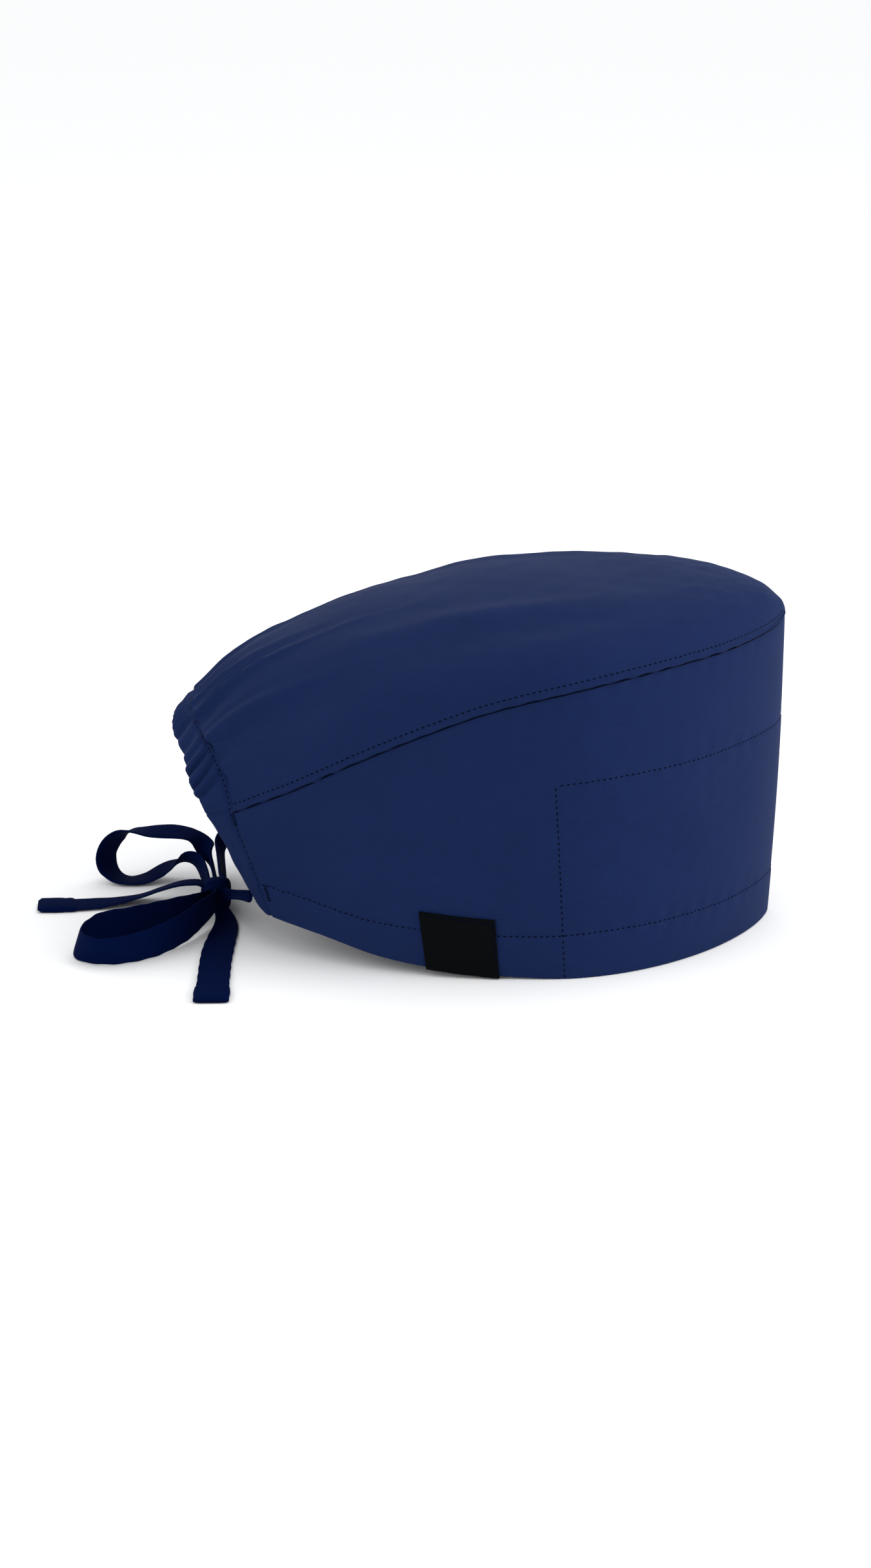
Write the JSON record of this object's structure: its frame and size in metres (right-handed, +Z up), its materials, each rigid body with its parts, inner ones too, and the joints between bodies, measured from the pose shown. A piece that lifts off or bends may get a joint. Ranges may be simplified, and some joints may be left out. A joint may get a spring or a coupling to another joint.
{
  "type": "scrub cap",
  "caption": "Cloth surgical cap with a domed crown, a deep side band, an inner forehead band, a gathered casing round the back opening and tape ties in a bow",
  "frame": {"origin": "on the surface under the middle of the cap, ties left out", "axes": "+X to the forehead, +Y to the wearer's left side, +Z up"},
  "size_m": [0.3242, 0.208, 0.1533],
  "materials": {
    "crown": "matt",
    "side_band": "matt",
    "forehead_band": "matt",
    "back_casing": "matt",
    "hem_label": "matt",
    "near_lead": "matt",
    "far_lead": "matt",
    "bow_knot": "matt",
    "upper_loop": "matt",
    "lower_loop": "matt",
    "upper_tail": "matt",
    "lower_tail": "matt"
  },
  "bodies": {
    "root": {"crown": "crown", "side_band": "side_band", "forehead_band": "forehead_band", "back_casing": "back_casing", "hem_label": "hem_label", "near_lead": "near_lead", "far_lead": "far_lead", "bow_knot": "bow_knot", "upper_loop": "upper_loop", "lower_loop": "lower_loop", "upper_tail": "upper_tail", "lower_tail": "lower_tail"}
  },
  "joints": []
}
